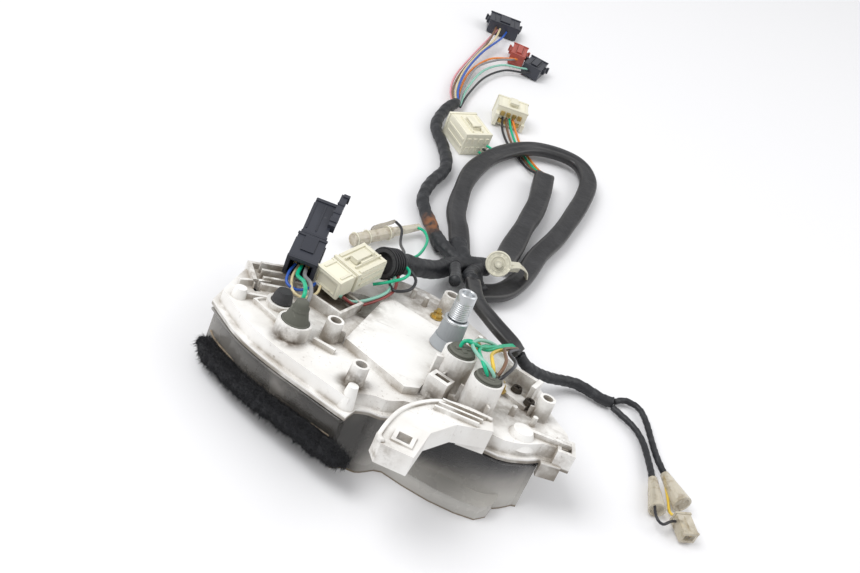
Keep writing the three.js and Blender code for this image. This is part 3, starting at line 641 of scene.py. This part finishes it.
def add_harness():
    tape, sleeve = MATERIALS["tape_black"], MATERIALS["sleeve_black"]
    loose = {"stiffness": "medium", "lay": "loose"}
    cord_piece("trunk_tape", TRUNK, 13, taped(6.5), tape, "tape_black", "trunk_cable",
               far_end="object", sides=28, step=1.5, **loose)
    cord_piece("up_branch_tape", UP_BRANCH, 9.5, taped(4.7, 11, 0.5, 0.7), tape, "tape_black", "up_branch",
               far_end="object", sides=28, step=1.5, **loose)
    cord_piece("loop_sleeve_flat", LOOP, 17, flattened(17, 8.5), sleeve, "sleeve_black", "loop_sleeve",
               far_end="object", sides=32, step=2.0, **loose)
    tail = flattened(19, 11, 0.4)
    cord_piece("loop_tail_flat", LOOP_TAIL, 19, tail, sleeve, "sleeve_black", "loop_tail",
               far_end="bare", sides=32, step=2.0, **loose)
    short = swept("case_lead_tape", smooth_path(CASE_LEAD, 1.5), taped(4), "tape_black", sides=24)
    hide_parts("case_lead")
    cord_piece("gauge_sleeve_flat", GAUGE_SLEEVE, 12, flattened(12, 8, 0.3), sleeve, "sleeve_black",
               "gauge_sleeve", far_end="object", sides=28, step=1.5, **loose)
    cord_piece("taped_lead_tape", TAPED_LEAD, 7.5, taped(3.7, 7, 0.45, 0.4), tape, "tape_black", "taped_lead",
               far_end="object", sides=24, step=1.2, **loose)
    for side, route, boot in (("a", BRANCH_A, "lead_boot_1"), ("b", BRANCH_B, "lead_boot_2")):
        cord_piece(f"lead_{side}_tape", route, 4.5, taped(2.2, 6, 0.3, 0.2), tape, "tape_black",
                   f"lead_branch_{side}", sides=18, step=1.0, far_end="connector",
                   with_pieces=[NODES[boot]], **loose)
    wire_group("fan_wire", FAN_WIRES, 2.0, ["fan_wires"])
    wire_group("lamp_wire", LAMP_WIRES, 2.2, ["lamp_wire_right"])
    wire_group("socket_wire", SOCKET_WIRES, 2.4, ["lamp_wire_left"])
    wire_group("sleeve_wire", SLEEVE_WIRES, 2.0)
    wire_group("case_wire", CASE_WIRES, 2.0)
    wire_group("relay_wire", RELAY_WIRES, 1.8)
    wire_group("boot_wire", BOOT_WIRES, 1.8)
    wraps = [("up", [(-8, 168, 8), (0, 158, 9), (12, 149, 10), (24, 148, 10)], 5.2),
             ("loop", [(9, 168, 9), (13, 156, 10), (19, 148, 10), (28, 151, 9)], 7.0),
             ("case", [(12.6, 121, 23), (13, 129, 18), (16, 140, 12)], 4.4),
             ("gauge", [(26, 103, 30.5), (24, 115, 25), (25, 130, 17), (28, 146, 11)], 5.0),
             ("loop_end", [(36, 124, 9), (30, 130, 10), (27, 142, 10)], 6.0),
             ("boot", [(-23, 71, 42.5), (-20, 78, 38), (-15, 84.6, 34.6)], 6.9)]
    for name, points, radius in wraps:
        swept(f"wrap_{name}", smooth_path(points, 1.2), taped(radius, 7, 0.5, 0.8), "tape_black", sides=24)


# ---------------------------------------------------------------- small pieces in local frames

class Along:
    """A frame along a line: a runs from start to end, b to the left, c up, in millimetres."""

    def __init__(self, start, end):
        self.start = Vector(start)
        self.forward = (Vector(end) - self.start).normalized()
        self.left = Vector((0, 0, 1)).cross(self.forward).normalized()
        self.up = self.forward.cross(self.left)
        self.length = (Vector(end) - self.start).length

    def at(self, a, b, c):
        return self.start + self.forward * a + self.left * b + self.up * c


def circle(where, a, radius, sides):
    """A closed circle of points across a local frame."""
    turns = [2 * math.pi * k / sides for k in range(sides + 1)]
    return [where.at(a, radius * math.cos(t), radius * math.sin(t)) for t in turns]


def case_frame(x, y, h, turn=0.0):
    """The same kind of frame standing on the tilted case, with c along its normal."""
    angle = math.radians(turn)
    frame_here = Along(on_case(x, y, h), on_case(x + math.cos(angle), y + math.sin(angle), h))
    frame_here.up = (on_case(x, y, h + 1) - on_case(x, y, h)).normalized()
    frame_here.left = frame_here.up.cross(frame_here.forward)
    return frame_here


def slabs(name, where, boxes, slot, edge=0.3):
    """One piece made of boxes (a0, a1, b0, b1, c0, c1) in a local frame, with rounded edges."""
    points, faces = [], []
    for a0, a1, b0, b1, c0, c1 in boxes:
        n = len(points)
        points += [where.at(a, b, c) for c in (c0, c1) for b in (b0, b1) for a in (a0, a1)]
        faces += [tuple(n + k for k in face) for face in
                  ((0, 2, 3, 1), (4, 5, 7, 6), (0, 1, 5, 4), (2, 6, 7, 3), (0, 4, 6, 2), (1, 3, 7, 5))]
    piece = mesh_piece(name, points, faces, MATERIALS[slot], smooth=False)
    bevel = piece.modifiers.new("edge", "BEVEL")
    bevel.width, bevel.segments = edge * MM, 2
    return piece


def lathe(name, where, profile, slot, sides=32, ring=False):
    """A turned piece about c, from (radius, c) pairs. A ring joins its last pair to its first."""
    points = [where.at(r * math.cos(2 * math.pi * k / sides), r * math.sin(2 * math.pi * k / sides), c)
              for r, c in profile for k in range(sides)]
    faces = turned_faces(len(profile), sides, ring)
    if not ring:
        faces += [tuple(reversed(range(sides))), tuple(range(len(points) - sides, len(points)))]
    mesh_piece(name, points, faces, MATERIALS[slot])


# ---------------------------------------------------------------- foam

FOAM_LINE = [(-105, -31), (-99, -39), (-85.5, -49.3), (-62.5, -62.3), (-37.5, -72.3), (-16.5, -81.3),
             (-7, -84), (1, -85)]


FOAM_HALF_WIDTH, FOAM_HALF_HEIGHT, FOAM_FOOT, GLUE_HEIGHT = 2.7, 6.2, -25, -18.6
FIBRES, QUICK_FIBRES, FIBRE_LENGTHS = 15000, 2500, (0.7, 1.0, 1.3, 2.2)


def add_foam():
    """A fuzzy strip: a lumpy core, short fibres standing out of it and the line of glue above it."""
    line = smooth_path([Vector((x, y, 0)) for x, y in FOAM_LINE], 0.8)
    sides, core, spots = 44, [], []
    for i, point in enumerate(line):
        ahead = (line[min(i + 1, len(line) - 1)] - line[max(i - 1, 0)]).normalized()
        out = Vector((ahead.y, -ahead.x, 0))
        taper = min(1.0, (i + 4) / 12, (len(line) - i + 3) / 14)
        for k in range(sides):
            angle = 2 * math.pi * k / sides
            c, s = math.cos(angle), math.sin(angle)
            across = FOAM_HALF_WIDTH * math.copysign(abs(c) ** 0.55, c)
            rise = FOAM_HALF_HEIGHT * taper * math.copysign(abs(s) ** 0.6, s)
            spot = point + out * across
            rough = noise.noise(Vector((spot.x * 0.25, rise * 0.4, spot.y * 0.25))) * 1.3
            rough += noise.noise(Vector((spot.x * 1.3, rise * 1.3, c * 2))) * 0.7
            place = on_case(spot.x + out.x * rough * c, spot.y + out.y * rough * c,
                            FOAM_FOOT + rise + rough * s)
            core.append(place)
            normal = (on_case(out.x * c, out.y * c, s) - on_case(0, 0, 0)).normalized()
            spots.append((place, normal))
    strip = mesh_piece("foam_core", core, tube_faces(len(line), sides), MATERIALS["foam_black"])
    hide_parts("foam_seal")
    dice = random.Random(7)
    hairs, blades = [], []
    for _ in range(FIBRES):
        place, normal = dice.choice(spots)
        lean = Vector([dice.uniform(-1, 1) for _ in range(3)])
        tip = place + (normal + lean * 0.9) * dice.choice(FIBRE_LENGTHS)
        wide = normal.cross(lean).normalized() * 0.16
        n = len(hairs)
        hairs += [place - wide, place + wide, place + normal.cross(wide) * 0.9, tip]
        blades += [(n, n + 1, n + 3), (n + 1, n + 2, n + 3), (n + 2, n, n + 3)]
    fuzz = mesh_piece("foam_fibres", hairs, blades, MATERIALS["foam_black"], smooth=False)
    edge = smooth_path([on_case(x + 2.2, y + 3.2, GLUE_HEIGHT) for x, y in FOAM_LINE[:-2]], 2.0)
    swept("foam_adhesive", edge, oval(0.7, 0.45), "nylon", GLUE, sides=8)


# ---------------------------------------------------------------- threaded stub

THREAD_PITCH, THREAD_START, THREAD_END = 1.25, 33.6, 45.6
THREAD_ROOT, TOOTH_HEIGHT, ROWS_PER_TURN = 5.5, 0.42, 6


def add_stub():
    """The cable thread: a helix of fine teeth, a plain lead-in above it and the bore for the cable end."""
    where = case_frame(*DRIVE_AXIS, 0)
    sides = 56
    rows = [(10.8, 5.0, 0), (33.0, 5.0, 0), (33.2, 5.7, 0)]
    z = THREAD_START
    while z < THREAD_END:
        rows.append((z, THREAD_ROOT, TOOTH_HEIGHT))
        z += THREAD_PITCH / ROWS_PER_TURN
    rows += [(45.9, 5.72, 0), (50.1, 5.72, 0), (51.0, 5.0, 0), (51.0, 4.1, 0), (50.4, 3.8, 0), (41.0, 3.8, 0),
             (40.6, 2.6, 0), (12.0, 2.6, 0)]
    points = []
    for height, radius, tooth in rows:
        for k in range(sides):
            angle = 2 * math.pi * k / sides
            phase = (height / THREAD_PITCH - k / sides) % 1
            r = radius + tooth * (1 - abs(2 * phase - 1))
            points.append(where.at(r * math.cos(angle), r * math.sin(angle), height))
    faces = turned_faces(len(rows), sides)
    faces += [(k, len(points) - sides + k, len(points) - sides + (k + 1) % sides, (k + 1) % sides)
              for k in range(sides)]
    stub = mesh_piece("stub_thread", points, faces, MATERIALS["zinc"])
    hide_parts("drive_stub")
    ring = [(7.62, 31.2), (7.75, 31.6), (7.75, 32.4), (7.2, 33.0), (6.2, 33.2), (5.9, 32.6)]
    lathe("collar_ring", where, ring, "zinc", ring=True)


# ---------------------------------------------------------------- connectors

def add_relay():
    shroud = Along((-72, 13, 50), (-74, 38, 51.6))
    slabs("relay_shroud_rims", shroud, [
        (0.0, 2.2, -9.5, 9.5, 6.6, 7.6), (0.0, 2.2, 8.6, 9.6, -7, 7.4), (0.0, 2.2, -9.6, -8.6, -7, 7.4),
        (7, 24, 9.0, 9.7, -3.2, 3.2), (7, 24, -9.7, -9.0, -3.2, 3.2), (9, 23, -4.2, 4.2, 7.0, 7.9),
        (22.6, 24.8, -9.4, 9.4, 6.8, 7.7)], "black_plastic", 0.25)
    body = Along((-74, 38.4, 51.6), (-77.5, 76, 54))
    slabs("relay_ribs", body, [
        (0.3, 2.6, -8.3, 8.3, 5.4, 7.0), (0.3, 2.6, 7.4, 8.3, -6, 6.6), (0.3, 2.6, -8.3, -7.4, -6, 6.6),
        (6, 33, -0.5, 0.5, 6.0, 6.5), (6, 33, 5.8, 6.8, 6.0, 6.6), (34.8, 37.6, -7.2, 7.2, 6.0, 6.6),
        (6, 36, 7.5, 8.1, -4.2, 3.6)], "black_plastic", 0.2)
    hook = Along((-67.5, 52, 58.4), (-70, 88, 58.8))
    slabs("relay_hook", hook, [
        (33.2, 36.4, -3.4, 1.0, -1.6, 3.4), (4, 9, -2.6, 2.6, 2.4, 3.2), (14, 16, -2.6, 2.6, 2.4, 3.0),
        (24, 26, -2.6, 2.6, 2.4, 3.0)], "black_plastic", 0.25)
    mouth = Along((-71.9, 16, 50), (-73, 23, 50.6))
    slabs("relay_terminals", mouth, [
        (2.5, 6.6, -5, -2.2, -2.6, 2.6), (2.5, 6.6, -0.9, 1.2, -3.2, 3.2), (2.5, 6.6, 3.0, 5.2, -2.6, 2.6)],
        "brass", 0.2)


def add_white_pair():
    plug = Along((-54.5, 12, 50), (-48.4, 25.4, 50))
    slabs("plug_ribs", plug, [
        (0.0, 1.8, -10.1, 10.1, 5.4, 6.7), (0.0, 1.8, 9.4, 10.2, -6, 6.4), (0.0, 1.8, -10.2, -9.4, -6, 6.4),
        (3.5, 14.2, -7.4, -5.8, 5.9, 6.9), (3.5, 14.2, 5.8, 7.4, 5.9, 6.9),
        (12.9, 14.6, -9.9, 9.9, 5.6, 6.6)],
        "nylon", 0.25)
    slabs("plug_face", plug, [(1.2, 2.4, -8.7, 8.7, -5.2, 5.2)], "nylon", 0.2)
    socket = Along((-48, 26, 50), (-36.5, 51, 50))
    slabs("socket_ribs", socket, [
        (0.2, 2.2, -10.6, 10.6, 6.0, 7.3), (0.2, 2.2, 9.8, 10.6, -6.4, 7.0),
        (0.2, 2.2, -10.6, -9.8, -6.4, 7.0),
        (3.4, 27.2, -9.6, -7.2, 6.3, 7.6), (3.4, 27.2, 7.2, 9.6, 6.3, 7.6), (3.4, 27.2, -4.9, -3.9, 6.3, 8.4),
        (3.4, 27.2, 3.9, 4.9, 6.3, 8.4), (25.4, 27.4, -9.8, 9.8, 6.2, 7.5),
        (5, 26, -10.7, -9.9, 1.5, 3.4), (5, 26, -10.7, -9.9, -3.6, -1.7)], "nylon", 0.25)
    slabs("socket_latch", socket, [
        (6, 21, -2.6, 2.6, 9.6, 10.8), (6, 9.4, -2.8, 2.8, 7.0, 10.4), (19.4, 21.6, -3.4, 3.4, 9.6, 12.0)],
        "nylon", 0.3)
    slabs("socket_terminals", socket, [
        (26.6, 29.4, b - 1.1, b + 1.1, c - 1.2, c + 1.2) for b in (-6, -2, 2, 6) for c in (-2.4, 2.2)],
        "brass", 0.2)
    boot = Along((-30, 57, 47), (-22.5, 71, 42))
    for i in range(5):
        swept(f"boot_rib_{i + 1}", circle(boot, 1.2 + 3.1 * i, 9.9 - 0.3 * i, 32), oval(0.55, 0.55),
              "rubber_black", sides=10, up=boot.forward)


def add_far_connectors():
    one = Along((-31, 334, 10), (-10, 310, 10))
    slabs("connector_1_ribs", one, [
        (0.0, 2.4, -13.2, 13.2, 9.0, 10.4), (0.0, 2.4, 12.2, 13.2, -9, 10.0),
        (0.0, 2.4, -13.2, -12.2, -9, 10.0),
        (4, 31.6, -12.4, -10.2, 9.2, 10.3), (4, 31.6, 10.2, 12.4, 9.2, 10.3),
        (29.6, 31.8, -12.8, 12.8, 9.0, 10.4),
        (6, 28, -5.2, -4.2, 9.2, 11.2), (6, 28, 4.2, 5.2, 9.2, 11.2), (5, 30, -13.1, -12.3, 2, 4.4),
        (5, 30, -13.1, -12.3, -4.4, -2), (10, 24, -3, 3, 12.2, 13.4), (22, 25, -3.8, 3.8, 12.6, 14.4)],
        "nylon", 0.3)
    slabs("connector_1_ports", one, [
        (30.9, 32.6, b - 1.8, b + 1.8, c - 2.4, c + 2.4) for b in (-8.5, -2.9, 2.9, 8.5) for c in (-4.2, 4)],
        "nylon", 0.25)
    two = Along((3, 397, 9.5), (6.5, 378, 9.5))
    slabs("connector_2_ribs", two, [
        (0.0, 2.0, -14.1, 14.1, 8.0, 9.3), (0.0, 2.0, 13.2, 14.1, -8, 9.0), (0.0, 2.0, -14.1, -13.2, -8, 9.0),
        (3, 19, -13, -10.6, 8.1, 9.2), (3, 19, 10.6, 13, 8.1, 9.2), (17.2, 19.4, -13.9, 13.9, 8.0, 9.4),
        (4, 14, -3.2, 3.2, 10.8, 12.0), (12.6, 15, -4, 4, 10.8, 12.8),
        (18.6, 24.5, -14, -10.6, -8, 3.6), (18.6, 22.5, 11, 14, -8, -1)], "nylon", 0.3)
    slabs("connector_2_ports", two, [
        (18.8, 21.4, b - 1.7, b + 1.7, c - 1.8, c + 1.8) for b in (-7.6, -2.6, 2.6, 7.6) for c in (-4, 3)],
        "brass", 0.25)
    for i, (colour, x, z) in enumerate((("green", -2, 12), ("black", -4, 9), ("green", -6, 6))):
        short = smooth_path([(x, 315 + x, z), (x + 6, 314 + x, z - 1), (x + 13, 311 + x, 8)], 1.0)
        swept(f"connector_1_wire_{i + 1}", short, oval(1, 1), "wire_green", WIRES[colour], sides=12)
    for name, start, end, wide, tall, slot in (
            ("black_connector", (-37, 566, 7.5), (-34, 545, 7.5), 30, 12, "black_plastic"),
            ("red_connector", (-11, 520, 7), (-10, 496, 7), 14, 11, "red_plastic"),
            ("grey_connector", (10.5, 508, 7), (6.5, 485, 7), 17, 11, "black_plastic")):
        where, w, t = Along(start, end), wide / 2, tall / 2
        ways = max(2, wide // 8)
        cells = [-w + wide * (i + 0.5) / ways for i in range(ways)]
        boxes = [(0.3, 2.0, -w - 0.6, w + 0.6, t - 0.4, t + 0.8),
                 (where.length - 2, where.length, -w - 0.6, w + 0.6, t - 0.4, t + 0.7),
                 (3, 12, w - 0.2, w + 2.2, -2, 2.4), (3, 12, -w - 2.2, -w + 0.2, -2, 2.4),
                 (2.0, 5.0, w + 1.4, w + 3.6, -2.6, 3), (2.0, 5.0, -w - 3.6, -w - 1.4, -2.6, 3)]
        boxes += [(3, where.length - 3, b - 0.5, b + 0.5, t - 0.3, t + 0.7) for b in cells]
        slabs(name + "_ribs", where, boxes, slot, 0.25)
        slabs(name + "_pins", where, [(1.5, 9, b - 1, b + 1, -0.6, 0.6) for b in cells], "brass", 0.2)


def add_lead_ends():
    """The bullet terminals, the clip with its tie, and the parts on the right-hand lead."""
    bullet = Along((-59, 123, 7), (-38, 150.4, 7))
    spare = Along((-50, 143, 9), (-39, 159, 11))
    round_spare = Along(spare.start, spare.start + spare.left)
    round_spare.up = spare.forward
    round_spare.forward = spare.up
    lathe("bullet_sleeve_small", round_spare,
          [(0.4, 0), (2.9, 0.2), (3.0, 6), (2.4, 9), (2.2, 18), (1.2, 19.4)], "clear_sleeve", 20)
    for i, a in enumerate((2, 12.5, 31)):
        swept(f"bullet_band_{i + 1}", circle(bullet, a, 4.6, 24), oval(0.8, 0.4), "nylon",
              sides=8, up=bullet.forward)
    disc = Along((39, 143, 25), (39, 134, 30.5))
    for name, radius, a, thick in (("clip_rim", 8.2, 10.2, 0.8), ("clip_inner_ring", 5.2, 10.6, 0.45)):
        swept(name, circle(disc, a, radius, 36), oval(thick, thick), "nylon", sides=10, up=disc.forward)
    tie = [(41, 139, 22), (47, 146, 24), (54, 153, 23), (60, 158, 18), (63, 160, 9)]
    swept("clip_tie", smooth_path(tie, 1.0), oval(2.6, 0.7, 0.4, 0.6), "nylon")
    lead = Along((197, 0, 6), (204, -15, 6))
    slabs("lead_connector_ribs", lead, [
        (0, 1.6, -5.5, 5.5, 3.4, 4.6), (0, 1.6, 4.8, 5.6, -3.8, 4.4), (0, 1.6, -5.6, -4.8, -3.8, 4.4),
        (15, 16.6, -5.4, 5.4, 3.4, 4.5), (3, 14, -0.4, 0.4, 3.6, 4.4)], "clear_sleeve", 0.2)
    slabs("lead_connector_pins", lead, [(1.5, 14.5, b - 0.9, b + 0.9, -0.8, 0.8) for b in (-2.4, 2.4)],
          "brass", 0.2)


# ---------------------------------------------------------------- details of the case

def rim(name, line, half_width, half_height, slot):
    """A rounded bead along a line of points on the case."""
    path = smooth_path([on_case(*point) for point in line], 1.5)
    swept(name, path, oval(half_width, half_height, 0.5, 0.5), slot)


LIP_HEIGHT, LENS_RIM_HEIGHT = 15.5, -4.6


def add_rims():
    """The raised lip along the big bracket's left edge, and the lens's second rim line under the flange."""
    lip = [(12.6, -114.8), (9.6, -108), (15.4, -79), (29.8, -57.6), (45.4, -50.6), (63.6, -50.6)]
    rim("bracket_lip", [(x, y, LIP_HEIGHT) for x, y in lip], 1.2, 1.4, "case_white")
    right = [(36, -53), (57, -52), (75.5, -53), (89, -46.2), (96.5, -40)]
    left = [(-105.5, -26.5), (-83, -48), (-60.4, -61), (-35.4, -71), (-11, -80.8)]
    for side, line in (("right", right), ("left", left)):
        rim(f"lens_rim_{side}", [(x, y, LENS_RIM_HEIGHT) for x, y in line], 1.9, 0.9, "lens_smoke")


DIAL_HEIGHT, DIAL_MARKS, DIAL_START, DIAL_STEP = -8.1, 25, -30, 10
LINER_HEIGHT, WEB_FOOT = -18, 8


def add_case_details():
    """The tops of the lamp holders, the webs at the posts and walls, the dial's liner and its scale."""
    for side, x, y, top in (("left", -58, -40, 24), ("centre", 34, -19, 32.4), ("right", 53, -35, 32.4)):
        where = case_frame(x, y, top, 30)
        if side == "left":
            cap = [(5.4, -0.6), (5.0, 1.6), (4.2, 3.0), (3.8, 5.6), (2.6, 6.6)]
            lathe("holder_neck_left", where, cap, "rubber_grey")
            slabs("holder_wings_left", where, [(-5.4, 5.4, -1.2, 1.2, -5, 2.4)], "rubber_grey", 0.5)
        else:
            lathe(f"holder_lip_{side}", where, [(7.6, -1.4), (7.7, -0.6), (7.0, 0.1), (6.6, -0.4)],
                  "rubber_grey")
            slabs(f"holder_bridge_{side}", where, [
                (-4.8, 4.8, -1.6, 1.6, -0.6, 1.0), (-1.6, 1.6, -4.6, 4.6, -0.6, 0.7)], "rubber_grey", 0.5)
    for i, (x, y, turn, reach, top) in enumerate((
            (-38, -28, 20, 8.5, 15), (-14, -62, 60, 8.5, 15), (91, -12, 200, 8, 15), (-58, -40, 100, 14, 13),
            (34, -19, 250, 13.5, 20), (53, -35, 300, 13.5, 20), (53, -35, 160, 13, 18))):
        slabs(f"case_web_{i + 1}", case_frame(x, y, WEB_FOOT, turn),
              [(0, reach, -0.7, 0.7, -0.6, top - WEB_FOOT)], "case_white", 0.4)
    liner = [(14, -51), (30, -47.5), (57, -45.5), (76, -46.5), (85, -41.5), (91, -33), (92, -14)]
    path = smooth_path([on_case(x, y, LINER_HEIGHT) for x, y in liner], 3.0)
    swept("dial_liner", path, oval(0.6, 9.0, 0.3, 0.3), "dial_black")
    marks = []
    centre = case_frame(*DRIVE_AXIS, DIAL_HEIGHT)
    for i in range(DIAL_MARKS):
        angle = math.radians(DIAL_START + DIAL_STEP * i)
        along = Vector((math.cos(angle), math.sin(angle)))
        inner = 33 if i % 2 else 31
        across = Vector((-along.y, along.x)) * (0.35 if i % 2 else 0.55)
        corners = [along * inner + across, along * inner - across, along * 36 - across, along * 36 + across]
        marks += [centre.at(c.x, c.y, 0) for c in corners]
    ticks = mesh_piece("dial_marks", marks, [tuple(range(4 * i, 4 * i + 4)) for i in range(DIAL_MARKS)],
                       MATERIALS["case_white"], smooth=False)


add_camera()
add_stage()
finish_cad_nodes()
add_foam()
add_stub()
add_relay()
add_white_pair()
add_far_connectors()
add_lead_ends()
add_case_details()
add_rims()
add_harness()
